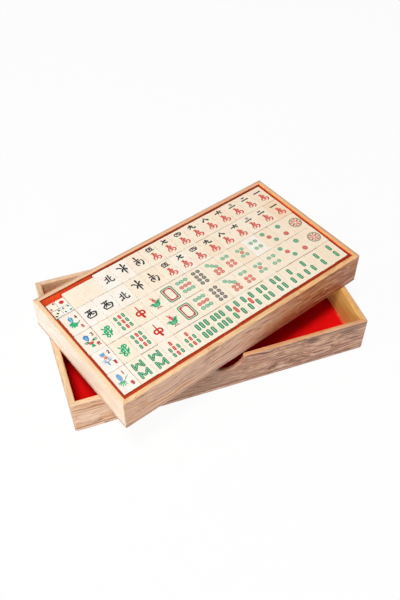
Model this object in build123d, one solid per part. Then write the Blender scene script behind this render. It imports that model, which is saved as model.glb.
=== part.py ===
"""Mahjong case: a shallow outer case with thumb notches, and the full tile tray that stands across it.

Millimetres, +Z up. The origin is the centre of the outer case's underside, +X along its length.
Each sub-part is written to parts/NODE.step.
"""
from build123d import *
import os

# Outer case
case_length = 340.0
case_width = 183.2
case_height = 50.5
case_side_wall = 5.4       # long sides
case_end_wall = 6.6        # short ends
case_base = 8.0            # thickness of the base board
case_base_round = 4.5      # round-over along the base board's lower edges
case_corner_round = 1.5    # upright outer corners
case_rim_bevel = 0.8
case_felt = 1.2            # floor felt
notch_radius = 18.2
notch_x = 3.0              # the notches sit a little right of the middle
notch_rise = 1.75          # how far the arc's centre lies above the rim
notch_flare = 1.3          # bevel along the notch's lips

# Tile tray
tray_length = 325.1
tray_width = 171.6         # 0.4 clear of the outer case on each side when it is put away
tray_height = 40.5
tray_wall = 5.6
tray_base = 4.0
tray_base_chamfer = 0.8
tray_corner_round = 1.0
tray_rim_round = 0.6
tray_felt = 1.0
tray_front_felt = 2.4      # the front lining is double
felt_below_rim = 1.2       # the wall lining stops short of the rim
tray_turn = 18.93          # degrees that the tray is turned on the case
tray_shift = (3.0, -1.8)   # its centre, from the case's centre

# Tiles: a bone face dovetailed to a bamboo back
tile_width = 20.4
tile_length = 30.45
tile_thickness = 16.6
bone_thickness = 5.0
tile_edge = 0.5            # chamfer on the outer edges
dovetail_depth = 2.0
dovetail_root = 9.0
dovetail_tip = 12.0
column_pitch = 20.55
row_pitch = 30.9
layer_gap = 0.3
columns = 15
rows = 5
block_back = 78.75         # back edge of the first row, in the tray's frame
row_right = (154.8, 155.1, 154.6, 154.9, 154.5)   # right end of each row
row_forward = (0, 0, 0, 0, 0.35)                  # how far a row lies further forward
last_tile_left = (0, 0.9, 0.8, 0.5, 0.6)          # how far its leftmost tile lies further left
stagger = (0.12, 0.12, 0.12, 0.12, 0.35)          # how far single tiles stand out of line in their row
stagger_cycle = (0, 1, -1, 0, -1, 1, 1)

# Spare tiles beside the dice, and the dice
spare_width = 20.45
spare_length = 27.3
spare_gap = 0.1
spare_right = -91.75
die_edge = 11.1
die_chamfer = 0.8
die_pitch_x = 11.3
die_pitch_y = 11.7
dice_centre = (-144.25, 60.25)
riser_width = 21.0
riser_length = 23.0

# Levels in the case's and the tray's own frames
case_floor = case_base + case_felt
tray_floor = tray_base + tray_felt
upper_level = tray_floor + tile_thickness + layer_gap
riser_height = upper_level + tile_thickness - die_edge - tray_floor

tray_place = Pos(tray_shift[0], tray_shift[1], case_height) * Rot(0, 0, tray_turn)


def block(length, width, low, high):
    """A box centred on Z between two levels."""
    return Pos(0, 0, (low + high) / 2) * Box(length, width, high - low)


def corner_edges(shape):
    """The upright outer corners: the four edges along Z that lie furthest out."""
    upright = shape.edges().filter_by(Axis.Z)
    return upright.sort_by(lambda edge: -(edge.center().X ** 2 + edge.center().Y ** 2))[:4]


def mitred_boards(ring, length, width, end_wall, side_wall, low, high):
    """Cut a four-sided ring along its corner mitres into front, back, left and right boards."""
    x, y = length / 2, width / 2
    inner_x, inner_y = x - end_wall, y - side_wall
    outlines = {
        "front": [(-x, -y), (x, -y), (inner_x, -inner_y), (-inner_x, -inner_y)],
        "back": [(x, y), (-x, y), (-inner_x, inner_y), (inner_x, inner_y)],
        "left": [(-x, y), (-x, -y), (-inner_x, -inner_y), (-inner_x, inner_y)],
        "right": [(x, -y), (x, y), (inner_x, inner_y), (inner_x, -inner_y)],
    }
    boards = {}
    for side, outline in outlines.items():
        wedge = Pos(0, 0, low) * extrude(make_face(Polyline(outline, close=True)), high - low)
        boards[side] = ring & wedge
    return boards


def notch_cutter():
    """A half-round cut through one long wall at the middle of its length, flared at both faces."""
    half_wall = case_side_wall / 2
    wide = notch_radius + notch_flare + case_side_wall
    outline = [(0, -half_wall - case_side_wall), (wide, -half_wall - case_side_wall),
               (notch_radius, -half_wall + notch_flare), (notch_radius, half_wall - notch_flare),
               (wide, half_wall + case_side_wall), (0, half_wall + case_side_wall)]
    return revolve(make_face(Polyline(outline, close=True)), Axis.Y)


def case_boards():
    """The outer case's four walls, the two long ones with a thumb notch in the rim."""
    shell = block(case_length, case_width, case_base, case_height)
    shell = fillet(corner_edges(shell), case_corner_round)
    hollow = block(case_length - 2 * case_end_wall, case_width - 2 * case_side_wall,
                   case_base, case_height)
    ring = shell - hollow
    ring = chamfer(ring.faces().sort_by(Axis.Z)[-1].edges(), case_rim_bevel)
    for side in (-1, 1):
        wall_y = side * (case_width - case_side_wall) / 2
        ring -= Pos(notch_x, wall_y, case_height + notch_rise) * notch_cutter()
    return mitred_boards(ring, case_length, case_width, case_end_wall, case_side_wall,
                         case_base, case_height)


def case_base_board():
    """The base board, its lower edges rounded over all round."""
    board = block(case_length, case_width, 0, case_base)
    board = fillet(corner_edges(board), case_corner_round)
    return fillet(board.faces().sort_by(Axis.Z)[0].edges(), case_base_round)


def tray_boards():
    """The tray's four mitred walls."""
    shell = block(tray_length, tray_width, tray_base, tray_height)
    shell = fillet(corner_edges(shell), tray_corner_round)
    hollow = block(tray_length - 2 * tray_wall, tray_width - 2 * tray_wall, tray_base, tray_height)
    ring = shell - hollow
    ring = fillet(ring.faces().sort_by(Axis.Z)[-1].edges(), tray_rim_round)
    return mitred_boards(ring, tray_length, tray_width, tray_wall, tray_wall,
                         tray_base, tray_height)


def tray_base_board():
    board = block(tray_length, tray_width, 0, tray_base)
    board = fillet(corner_edges(board), tray_corner_round)
    return chamfer(board.faces().sort_by(Axis.Z)[0].edges(), tray_base_chamfer)


def tray_linings():
    """Felt strips on the four inner walls: the long ones run through, the end ones between them."""
    high = tray_height - felt_below_rim
    x = tray_length / 2 - tray_wall
    y = tray_width / 2 - tray_wall
    long_strip = block(2 * x, tray_felt, tray_floor, high)
    front_strip = block(2 * x, tray_front_felt, tray_floor, high)
    end_strip = block(tray_felt, 2 * y - tray_felt - tray_front_felt, tray_floor, high)
    end_y = (tray_front_felt - tray_felt) / 2
    return {
        "front": Pos(0, -y + tray_front_felt / 2, 0) * front_strip,
        "back": Pos(0, y - tray_felt / 2, 0) * long_strip,
        "left": Pos(-x + tray_felt / 2, end_y, 0) * end_strip,
        "right": Pos(x - tray_felt / 2, end_y, 0) * end_strip,
    }


def tile_halves(width, length):
    """The bone face and the bamboo back of one tile, centred, standing on Z = 0."""
    blank = block(width, length, 0, tile_thickness)
    blank = chamfer(blank.edges().filter_by(Axis.Z), tile_edge)
    blank = chamfer(blank.faces().sort_by(Axis.Z)[-1].edges(), tile_edge)
    blank = chamfer(blank.faces().sort_by(Axis.Z)[0].edges(), tile_edge)
    joint = tile_thickness - bone_thickness
    root, tip = dovetail_root / 2, dovetail_tip / 2
    section = [(-root, joint), (root, joint), (tip, joint - dovetail_depth),
               (-tip, joint - dovetail_depth)]
    tongue = extrude(Plane.XZ * make_face(Polyline(section, close=True)), length, both=True)
    bone_zone = block(2 * width, 2 * length, joint, tile_thickness + 1) + tongue
    return blank & bone_zone, blank - bone_zone


def tile_centres(row):
    """The tile centres of one row, from right to left."""
    count = columns if row > 0 else columns - 3
    y = block_back - tile_length / 2 - row * row_pitch - row_forward[row]
    centres = []
    for column in range(count):
        offset = stagger[row] * stagger_cycle[(2 * row + 3 * column) % len(stagger_cycle)]
        x = row_right[row] - tile_width / 2 - column * column_pitch
        centres.append((x, y + offset))
    if row > 0:
        x, y = centres[-1]
        centres[-1] = (x - last_tile_left[row], y)
    return centres


def spare_centres():
    """The two spare tiles stand against the second row, so their back edges lie further forward."""
    y = block_back - tile_length + spare_length / 2
    right = spare_right - spare_width / 2
    return [(right, y), (right - spare_width - spare_gap, y)]


def dice_centres():
    x, y = dice_centre
    return [(x + i * die_pitch_x / 2, y + j * die_pitch_y / 2) for j in (1, -1) for i in (-1, 1)]


def spread(shape, centres, level):
    """Copies of one shape at several places on one level of the tray."""
    return Compound(children=[tray_place * Pos(x, y, level) * shape for x, y in centres])


def write(name, shape):
    shape.label = name
    export_step(shape, os.path.join("parts", name + ".step"))


def write_case():
    for side, board in case_boards().items():
        write(f"case_{side}_board", board)
    write("case_base_board", case_base_board())
    write("case_floor_felt", block(case_length - 2 * case_end_wall, case_width - 2 * case_side_wall,
                                   case_base, case_floor))


def write_tray():
    for side, board in tray_boards().items():
        write(f"tray_{side}_board", tray_place * board)
    write("tray_base_board", tray_place * tray_base_board())
    floor = block(tray_length - 2 * tray_wall, tray_width - 2 * tray_wall, tray_base, tray_floor)
    write("tray_floor_felt", tray_place * floor)
    for side, strip in tray_linings().items():
        write(f"tray_{side}_felt", tray_place * strip)
    riser = block(riser_width, riser_length, tray_floor, tray_floor + riser_height)
    write("dice_riser", tray_place * Pos(dice_centre[0], dice_centre[1], 0) * riser)


def write_tiles():
    bone, bamboo = tile_halves(tile_width, tile_length)
    spare_bone, spare_bamboo = tile_halves(spare_width, spare_length)
    for layer, level in (("upper", upper_level), ("lower", tray_floor)):
        for row in range(rows):
            centres = tile_centres(row)
            write(f"{layer}_row_{row + 1}_bone", spread(bone, centres, level))
            write(f"{layer}_row_{row + 1}_bamboo", spread(bamboo, centres, level))
        write(f"{layer}_spare_bone", spread(spare_bone, spare_centres(), level))
        write(f"{layer}_spare_bamboo", spread(spare_bamboo, spare_centres(), level))


def write_dice():
    cube = block(die_edge, die_edge, 0, die_edge)
    cube = chamfer(cube.edges(), die_chamfer)
    for number, (x, y) in enumerate(dice_centres(), start=1):
        write(f"die_{number}", tray_place * Pos(x, y, tray_floor + riser_height) * cube)


os.makedirs("parts", exist_ok=True)
write_case()
write_tray()
write_tiles()
write_dice()
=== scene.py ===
"""Looks for the mahjong case: oiled wood, red felt, bone and bamboo tiles with painted faces, and dice.

Sizes are in millimetres until a piece is placed. The tray's pieces are laid out in the tray's own frame.
"""
import bpy
import math
import random
from mathutils import Matrix, Vector


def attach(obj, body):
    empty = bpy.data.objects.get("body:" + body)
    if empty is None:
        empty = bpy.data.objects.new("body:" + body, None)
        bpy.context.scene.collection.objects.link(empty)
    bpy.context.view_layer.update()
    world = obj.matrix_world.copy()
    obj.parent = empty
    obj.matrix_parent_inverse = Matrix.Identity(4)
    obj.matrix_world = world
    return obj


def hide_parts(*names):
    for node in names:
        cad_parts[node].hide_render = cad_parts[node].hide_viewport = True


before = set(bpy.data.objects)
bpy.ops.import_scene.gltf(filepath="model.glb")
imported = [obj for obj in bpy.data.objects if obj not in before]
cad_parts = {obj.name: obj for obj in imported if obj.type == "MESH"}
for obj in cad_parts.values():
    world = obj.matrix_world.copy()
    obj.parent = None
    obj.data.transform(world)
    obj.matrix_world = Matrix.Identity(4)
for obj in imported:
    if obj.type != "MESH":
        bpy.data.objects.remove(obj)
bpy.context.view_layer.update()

# --- sizes, as in the source
CASE_LENGTH, CASE_WIDTH, CASE_HEIGHT = 340.0, 183.2, 50.5
CASE_SIDE, CASE_END, CASE_BASE, CASE_FELT = 5.4, 6.6, 8.0, 1.2
TRAY_LENGTH, TRAY_WIDTH, TRAY_HEIGHT = 325.1, 171.6, 40.5
TRAY_WALL, TRAY_BASE, TRAY_FLOOR = 5.6, 4.0, 5.0
TRAY_FELT, FRONT_FELT, FELT_TOP = 1.0, 2.4, 39.3
TRAY_TURN, TRAY_SHIFT = 18.93, (3.0, -1.8)
TILE_WIDTH, TILE_LENGTH, TILE_THICK = 20.4, 30.45, 16.6
BONE_THICK, TONGUE_DEPTH, TONGUE_ROOT, TONGUE_TIP = 5.0, 2.0, 4.5, 6.0
TILE_ROUND, RIM_ROUND, SPARE_RIM_ROUND = 0.5, 0.28, 0.08   # round-overs below, and of the face's edges
COLUMN_PITCH, ROW_PITCH, LAYER_GAP = 20.55, 30.9, 0.3
ROWS, COLUMNS, FIRST_ROW_COLUMNS = 5, 15, 12
BLOCK_BACK, ROW_RIGHT = 78.75, (154.8, 155.1, 154.6, 154.9, 154.5)
# the last row and the leftmost tiles stand a little less out of line than in the source
ROW_FORWARD, LAST_TILE_LEFT = (0, 0, 0, 0, 0.1), (0, 0.45, 0.4, 0.25, 0.3)
STAGGER, STAGGER_CYCLE = (0.12, 0.12, 0.12, 0.12, 0.28), (0, 1, -1, 0, -1, 1, 1)
SPARE_WIDTH, SPARE_LENGTH, SPARE_GAP, SPARE_RIGHT = 20.45, 27.3, 0.1, -91.75
DIE, DIE_PITCH, DICE_CENTRE = 11.1, (11.3, 11.7), (-144.25, 60.25)
LEVELS = {"upper": TRAY_FLOOR + TILE_THICK + LAYER_GAP, "lower": TRAY_FLOOR}

CASE = Matrix.Scale(0.001, 4)
TRAY = (CASE @ Matrix.Translation((*TRAY_SHIFT, CASE_HEIGHT))
        @ Matrix.Rotation(math.radians(TRAY_TURN), 4, "Z"))


# --- materials
def tone(red, green, blue):
    """A colour given as 0 to 255 on screen, as the shader wants it."""
    return tuple((v / 255 / 12.92 if v <= 10.3 else ((v / 255 + 0.055) / 1.055) ** 2.4)
                 for v in (red, green, blue)) + (1.0,)


class Finish:
    """The nodes of a material or of the world, built up step by step. Patterns are sized in millimetres."""

    def __init__(self, name, owner=None):
        self.owner = owner or bpy.data.materials.new(name)
        self.owner.use_nodes = True
        self.tree = self.owner.node_tree
        self.tree.nodes.clear()

    def node(self, kind, inputs=(), **settings):
        made = self.tree.nodes.new(kind)
        for key, value in settings.items():
            setattr(made, key, value)
        for key, value in dict(inputs).items():
            if isinstance(value, bpy.types.NodeSocket):
                self.tree.links.new(value, made.inputs[key])
            else:
                made.inputs[key].default_value = value
        return made

    def place(self, turn=0.0, shift=(0, 0, 0), vector=None, scale=1000.0):
        """Coordinates in mm in a frame turned about Z."""
        return self.node("ShaderNodeMapping", {
            "Vector": vector or self.node("ShaderNodeTexCoord").outputs["Object"], "Scale": (scale,) * 3,
            "Rotation": (0, 0, -math.radians(turn)), "Location": shift}).outputs[0]

    def vector(self, operation, a, b=(0, 0, 0), c=(0, 0, 0), output=0):
        return self.node("ShaderNodeVectorMath", {0: a, 1: b, 2: c}, operation=operation).outputs[output]

    def noise(self, place, factors, detail=2.0, roughness=0.5, shift=(0, 0, 0), w=None, output="Fac",
              distortion=0.0):
        """Noise with so many changes in a mm along each axis."""
        inputs = {"Vector": self.vector("MULTIPLY_ADD", place, factors, shift), "Scale": 1.0,
                  "Detail": detail, "Roughness": roughness, "Distortion": distortion}
        if w is not None:
            inputs["W"] = w
        return self.node("ShaderNodeTexNoise", inputs,
                         noise_dimensions="3D" if w is None else "4D").outputs[output]

    def calc(self, operation, a, b=0.0, c=0.0, clamp=False):
        return self.node("ShaderNodeMath", {0: a, 1: b, 2: c}, operation=operation,
                         use_clamp=clamp).outputs[0]

    def times(self, a, b):
        return self.calc("MULTIPLY", a, b)

    def scaled(self, a, factor, b):
        """a times factor, plus b."""
        return self.calc("MULTIPLY_ADD", a, factor, b)

    def gap(self, a, b):
        """How far apart two values are."""
        return self.calc("ABSOLUTE", self.calc("SUBTRACT", a, b))

    def rise(self, value, low, high, to_low=0.0, to_high=1.0):
        """A smooth step from to_low to to_high."""
        return self.node("ShaderNodeMapRange", {"Value": value, "From Min": low, "From Max": high,
                                                "To Min": to_low, "To Max": to_high},
                         interpolation_type="SMOOTHSTEP").outputs[0]

    def mix(self, factor, a, b, blend="MIX"):
        return self.node("ShaderNodeMix", {0: factor, 6: a, 7: b}, data_type="RGBA",
                         blend_type=blend).outputs[2]

    def shift(self, colour, factor, target):
        """The colour moved towards a tone as far as factor says."""
        return self.mix(factor, colour, tone(*target))

    def deepen(self, colour, factor, shade):
        """The colour multiplied by a tone as far as factor says."""
        return self.mix(factor, colour, tone(*shade), "MULTIPLY")

    def ramp(self, factor, *stops):
        made = self.node("ShaderNodeValToRGB", {0: factor})
        elements = made.color_ramp.elements
        while len(elements) < len(stops):
            elements.new(0.5)
        for element, (position, colour) in zip(elements, stops):
            element.position, element.color = position, tone(*colour)
        return made.outputs["Color"]

    def attribute(self, name):
        return self.node("ShaderNodeAttribute", attribute_name=name).outputs["Fac"]

    def done(self, colour, roughness, height, depth, strength, **constants):
        """Ends the material in one shader. depth is the bump's in mm, constants are other sockets' values."""
        bump = self.node("ShaderNodeBump", {"Height": height, "Strength": strength, "Distance": depth * 0.001})
        inputs = {"Base Color": colour, "Roughness": roughness, "Normal": bump.outputs[0]}
        for key, value in constants.items():
            inputs[key.replace("_", " ").title().replace("Ior", "IOR")] = value
        shader = self.node("ShaderNodeBsdfPrincipled", inputs)
        self.node("ShaderNodeOutputMaterial", {"Surface": shader.outputs[0]})
        return self.owner

    def white_behind(self, lit, kind, share=1.0):
        """The lit shader, but where the camera looks at it, directly or in gloss or glass, it is white."""
        rays = self.node("ShaderNodeLightPath").outputs
        seen = self.calc("ADD", rays["Is Camera Ray"], rays["Is Glossy Ray"], clamp=True)
        seen = self.calc("ADD", seen, rays["Is Transmission Ray"], clamp=True)
        white = self.node(kind, {"Color": (1, 1, 1, 1), "Strength": 1.0})
        return self.node("ShaderNodeMixShader", {0: self.times(seen, share), 1: lit.outputs[0],
                                                 2: white.outputs[0]}).outputs[0]


INNER_WITH_FELT_REFLECTION = (248, 184, 120)    # the inside of both boxes is a more orange wood than the outside, and its orange is partly painted reflection of the red felt
PITH = (40.0, 70.0)        # the tree's middle, across the grain
SEED_SHIFT = (171.3, 23.7, 41.9)
GRAIN_WANDER = 26.0
RIM_LINE = 0.9             # the dark line below the rim lies this deep
STAIN_AND_SHADOW_SHORT = 0.45          # stains and the painted shadow are longer along the box than high


def wood(name, seed, face, patch, rim, inner=INNER_WITH_FELT_REFLECTION, fade=None, across=False, tray=False, streaks=0.5,
         stains=(), contrast=1.0, foot=None, lip=None, brim=None, crowded=None):
    """Oiled open-grained wood. The grain runs along the box's length, or across it on end boards.

    face and patch are the two tones that take turns on the outside, rim the tone of the top edge and inner
    that of the inside, whose orange is partly painted reflection of the red felt, and on the tray's back a
    painted shadow under the rim. fade is a tone that the board drifts to along its grain, partly its own colour
    and partly painted falloff of the light, with where it starts and ends, and the tone of the rim there. The
    dark marks given as (x, y, z, reach, strength) in the box's frame are stains, and on the case's front one is
    a painted shadow under the tray's overhang. foot is a painted reflection of the orange wall and felt: a
    warmer tone low on the board, with where it starts and ends. lip is where a dark line under the rim starts
    and ends. brim is the tone of the outer half of the rim. crowded is where the grain starts and ends to draw
    together into sharper lines.
    """
    f = Finish(name)
    if tray:
        turned = Matrix.Rotation(-math.radians(TRAY_TURN), 3, "Z") @ Vector((*TRAY_SHIFT, CASE_HEIGHT))
        box = f.place(TRAY_TURN, tuple(-turned))
        sizes = TRAY_LENGTH / 2, TRAY_WIDTH / 2, TRAY_WALL, TRAY_WALL, TRAY_HEIGHT, TRAY_BASE
    else:
        box = f.place()
        sizes = CASE_LENGTH / 2, CASE_WIDTH / 2, CASE_END, CASE_SIDE, CASE_HEIGHT, CASE_BASE
    half_length, half_width, end_wall, side_wall, high, base = sizes

    grain = f.place(90.0 if across else 0.0, tuple(seed * k for k in SEED_SHIFT), box, 1.0)
    warp = f.noise(grain, (0.014, 0.035, 0.035), output="Color")
    bent = f.vector("MULTIPLY_ADD", warp, (0, GRAIN_WANDER, GRAIN_WANDER), grain)
    middle = (0, PITH[0] - seed * SEED_SHIFT[1], PITH[1] - seed * SEED_SHIFT[2])
    rings = f.vector("LENGTH", f.vector("MULTIPLY_ADD", bent, (0, 1, 1), middle), output="Value")
    band = f.node("ShaderNodeTexNoise", {"W": f.times(rings, 0.42), "Scale": 1.0, "Detail": 4.0,
                                         "Roughness": 0.62}, noise_dimensions="1D").outputs["Fac"]
    fibre = f.noise(grain, (0.03, 1.25, 1.25), 5.0, 0.7)
    fine = f.noise(grain, (0.09, 3.6, 3.6), 3.0, 0.6)
    pitted = f.noise(grain, (0.055, 1.9, 1.9))
    broad = f.noise(bent, (0.009, 0.10, 0.10), 3.0, 0.55)
    lines = f.noise(bent, (0.008, 0.46, 0.46), 5.0, 0.68, (8.1, 0, 0))
    streak = f.noise(bent, (0.006, 0.27, 0.27), 4.0, 0.66, (3.3, 0, 0))

    x, y, z = f.node("ShaderNodeSeparateXYZ", {0: box}).outputs
    end_share, side_share = (
        f.calc("DIVIDE", f.calc("SUBTRACT", half, f.calc("ABSOLUTE", axis)), wall)
        for half, axis, wall in ((half_length, x, end_wall), (half_width, y, side_wall)))
    depth = f.calc("MINIMUM", end_share, side_share)       # 0 at the outside of the wall, 1 at the inside

    # the board's tones, its rim and its inside; the drift along the grain is partly painted falloff of light,
    # the warm foot is painted reflection, the inside's tone is partly painted reflection
    tones = f.mix(f.rise(broad, 0.44, 0.58), tone(*face), tone(*patch))
    top = tone(*rim) if rim else None
    # fade: the board drifts to another tone along its grain, partly its own colour and partly painted falloff
    # of the light
    if fade:
        drift, start, end, drift_rim = fade
        share = f.rise(f.scaled(broad, 60.0, y if across else x), start + 30, end + 30)
        tones = f.shift(tones, share, drift)
        top = f.shift(top, share, drift_rim) if rim else None
    # foot: a painted reflection of the orange wall and red felt, warming the board low down towards the right
    if foot:
        warm, start, end = foot
        low = f.rise(f.scaled(broad, 24.0, z), 34.0, 22.0)
        tones = f.shift(tones, f.times(low, f.rise(x, start, end, 0.0, 0.85)), warm)
    calm = contrast
    if rim:
        pale = f.deepen(top, f.rise(broad, 0.40, 0.62, 0.0, 0.5), (240, 228, 216))
        pale = f.deepen(pale, f.rise(depth, 0.40, 1.0, 0.0, 0.6), (254, 232, 206))
        if brim:
            pale = f.mix(f.rise(f.scaled(broad, 0.2, depth), 0.42, 0.62), tone(*brim), pale)
        reached = f.rise(depth, 0.03, 0.15)
        if tray:
            reached = f.calc("MAXIMUM", reached, f.rise(z, high - 0.55, high - 0.2))
        cut = f.deepen(tones, 1.0, (242, 226, 212))
        tones = f.mix(reached, tones, f.mix(f.rise(z, high - 2.6, high - 1.6), cut, pale))
        # the inside's tone: partly painted reflection of the red felt, and on the tray's back a painted shadow
        # under the rim
        tones = f.shift(tones, f.rise(depth, 0.93, 0.99), inner)
        calm = f.rise(depth, 0.02, 0.15, contrast, 0.5 * contrast)

    # the grain's layers: pattern, where it starts and is full, strength, a share of it, tone
    dark = [(band, 0.47, 0.64, 0.48, calm, (206, 182, 168)), (lines, 0.46, 0.64, 0.5, calm, (204, 178, 160))]
    light = [(lines, 0.48, 0.34, 0.35, calm, (255, 236, 212))]
    layers = [(f.deepen, *layer) for layer in dark] + [(f.shift, *layer) for layer in light]
    layers.append((f.deepen, streak, 0.56, 0.70, 1.0, f.times(calm, streaks), (168, 142, 128)))
    if crowded:
        crowd = f.times(f.rise(x, *crowded), f.rise(z, high - 0.4, high - 1.4))
        tight = f.noise(bent, (0.011, 0.62, 0.62), 3.0, 0.62, (0, 5.7, 0))
        layers += [(f.deepen, tight, 0.49, 0.60, 0.85, crowd, (176, 152, 138)),
                   (f.shift, tight, 0.48, 0.38, 0.42, crowd, (255, 226, 184))]
    layers += [(f.deepen, fibre, 0.42, 0.70, 0.38, calm, (204, 184, 170)),
               (f.shift, fibre, 0.50, 0.26, 0.30, 1.0, (252, 230, 206)),
               (f.shift, pitted, 0.60, 0.72, 0.30, calm, (150, 108, 82))]
    colour = tones
    for change, pattern, start, full, strength, share, target in layers:
        colour = change(colour, f.times(f.rise(pattern, start, full, 0.0, strength), share), target)
    colour = f.mix(0.2 * contrast, colour,
                   f.mix(f.rise(fine, 0.3, 0.7), tone(196, 184, 176), tone(255, 255, 255)), "MULTIPLY")

    # seams, mitres, a dark line under the rim, stains and a painted shadow
    colour = f.shift(colour, f.rise(f.gap(z, base), 0.35, 1.1, 0.3 if tray else 0.85, 0.0), (98, 68, 52))
    if lip:
        drop = f.gap(f.scaled(lines, 3.0, z), high - RIM_LINE)
        under = f.times(f.rise(drop, 0.45, 1.25, 0.75, 0.0), f.rise(x, *lip))
        colour = f.shift(colour, f.times(under, f.rise(depth, 0.02, 0.12, 1.0, 0.0)), (104, 76, 62))
    mitre = f.rise(f.gap(end_share, side_share), 0.015, 0.06, 1.0, 0.0)
    colour = f.shift(colour, f.times(mitre, 0.5), (120, 80, 56))
    # dark marks: stains, and a painted shadow where the tray overhangs the case's front
    for *centre, reach, strength in stains:
        away = f.vector("DISTANCE", f.vector("MULTIPLY_ADD", box, (STAIN_AND_SHADOW_SHORT, 1, 1)),
                        (STAIN_AND_SHADOW_SHORT * centre[0], *centre[1:]), output="Value")
        mark = f.rise(f.scaled(broad, reach * 1.4, away), reach * 0.9, reach * 1.9, strength, 0.0)
        colour = f.deepen(colour, mark, (140, 128, 124))
    height = f.calc("SUBTRACT", f.times(fibre, 0.5), f.rise(pitted, 0.60, 0.72, 0.0, 0.8))
    height = f.calc("SUBTRACT", height, mitre)
    return f.done(colour, f.rise(fibre, 0.2, 0.8, 0.60, 0.46), height, 0.12, 0.8,
                  coat_weight=0.04, coat_roughness=0.35)


def felt(name, deep, bright, turn=0.0, painted_shade=None, worn=None):
    """Napped felt: short matted fibres over a woven back. Of the two tones after turn, the first is a painted
    shade, laid where a point's tint is low, and worn is its tone along a frayed edge."""
    f = Finish(name)
    p = f.place(turn)
    mat = f.noise(p, (0.9, 0.9, 0.9), 5.0, 0.75, distortion=0.6)
    hairs = f.noise(p, (0.7, 3.1, 2.1), 3.0, 0.6, distortion=1.4)
    hairs_across = f.noise(p, (3.3, 0.8, 2.1), 3.0, 0.6, (9, 4, 2), distortion=1.4)
    cloud = f.noise(p, (0.05, 0.07, 0.05), 3.0)
    value = f.scaled(mat, 0.30, f.scaled(hairs, 0.35, f.times(hairs_across, 0.35)))
    colour = f.ramp(value, (0.32, deep), (0.58, bright))
    colour = f.shift(colour, f.rise(cloud, 0.3, 0.7, 0.0, 0.35), deep)
    # painted shade: the felt turns to its shaded tone where a point's tint is low
    if painted_shade:
        colour = f.mix(f.attribute("tint"), f.shift(colour, 0.88, painted_shade), colour)
    if worn:
        colour = f.shift(colour, f.attribute("tint"), worn)
    return f.done(colour, f.rise(mat, 0.3, 0.7, 0.98, 0.86), value, 0.4, 0.6, sheen_weight=0.05,
                  sheen_roughness=0.45, sheen_tint=tone(255, 90, 60), specular_ior_level=0.12)


def bone(name, base, warm, white, dice=False):
    """Polished bone: faint lengthwise streaks and pores, each tile with its own tint, on the tiles with painted
    light whitening them towards the left, edges handled brown.
    """
    f = Finish(name)
    p = f.place(TRAY_TURN)
    seed, tint = f.attribute("seed"), f.attribute("tint")
    cloud = f.noise(p, (0.10, 0.075, 0.10), w=seed)
    blush = f.noise(p, (0.17, 0.12, 0.17), shift=(3.7, 0, 0), w=seed)
    streak = f.noise(p, (1.15, 0.07, 1.15), 4.0, 0.6, w=seed)
    pores = f.rise(f.noise(p, (3.4, 0.5, 3.4), w=seed), 0.66, 0.78)
    # tint: each tile's own, and across the tiles a painted light that whitens them towards the left
    colour = f.mix(f.rise(tint, 0.0, 1.0), tone(*base), tone(*warm))
    for pattern, start, full, strength, target in (
            (tint, 0.0, -1.0, 1.0, white), (cloud, 0.38, 0.68, 0.30, warm),
            (blush, 0.50, 0.70, 0.35, (252, 218, 202)), (blush, 0.46, 0.30, 0.25, (240, 236, 204)),
            (streak, 0.48, 0.74, 0.22, (226, 194, 164))):
        colour = f.shift(colour, f.rise(pattern, start, full, 0.0, strength), target)
    colour = f.shift(colour, f.times(pores, 0.20), (190, 150, 112))
    if not dice:
        handled = f.rise(f.noise(p, (0.09, 0.09, 0.09), shift=(1.3, 5.1, 0)), 0.42, 0.66, 0.10, 0.60)
        colour = f.shift(colour, f.times(f.rise(f.attribute("edge"), 0.25, 1.0), handled), (176, 122, 74))
    height = f.calc("SUBTRACT", f.times(streak, 0.5), pores)
    return f.done(colour, f.rise(streak, 0.3, 0.8, 0.34, 0.46), height, 0.02, 0.5,
                  coat_weight=0.08, coat_roughness=0.25)


def bamboo(name):
    """Polished bamboo: straight fibres along the tile, their cut ends showing as dots."""
    f = Finish(name)
    p = f.place(TRAY_TURN)
    seed = f.attribute("seed")
    fibre = f.noise(p, (1.5, 0.035, 1.5), 4.0, 0.65, w=seed)
    bundles = f.node("ShaderNodeTexVoronoi", {
        "Vector": f.vector("MULTIPLY_ADD", p, (1.25, 0.02, 1.25)), "Scale": 1.0, "Randomness": 0.9},
        feature="F1").outputs["Distance"]
    dots = f.rise(bundles, 0.20, 0.34, 1.0, 0.0)
    cloud = f.noise(p, (0.07, 0.03, 0.07), w=seed)
    colour = f.ramp(fibre, (0.30, (176, 120, 66)), (0.5, (206, 156, 96)), (0.7, (222, 180, 122)))
    colour = f.shift(colour, f.times(dots, 0.45), (134, 84, 44))
    colour = f.shift(colour, f.rise(cloud, 0.35, 0.7, 0.0, 0.4), (190, 132, 74))
    height = f.calc("SUBTRACT", fibre, f.times(dots, 0.4))
    return f.done(colour, f.rise(fibre, 0.3, 0.7, 0.42, 0.34), height, 0.05, 0.6,
                  coat_weight=0.2, coat_roughness=0.25)


def paint(name, colour, worn):
    """Paint rubbed into carved marks, thinner and paler in places."""
    f = Finish(name)
    p = f.place(TRAY_TURN)
    thin = f.noise(p, (0.55, 0.55, 0.55), 3.0, 0.6)
    grit = f.noise(p, (3.2, 3.2, 3.2), 2.0, 0.6)
    dull = f.scaled(grit, 0.4, f.times(thin, 0.6))
    mixed = f.mix(f.rise(dull, 0.42, 0.68, 0.0, 0.25), tone(*colour), tone(*worn))
    return f.done(mixed, f.rise(grit, 0.3, 0.7, 0.50, 0.62), grit, 0.02, 0.5, specular_ior_level=0.25)


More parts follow.
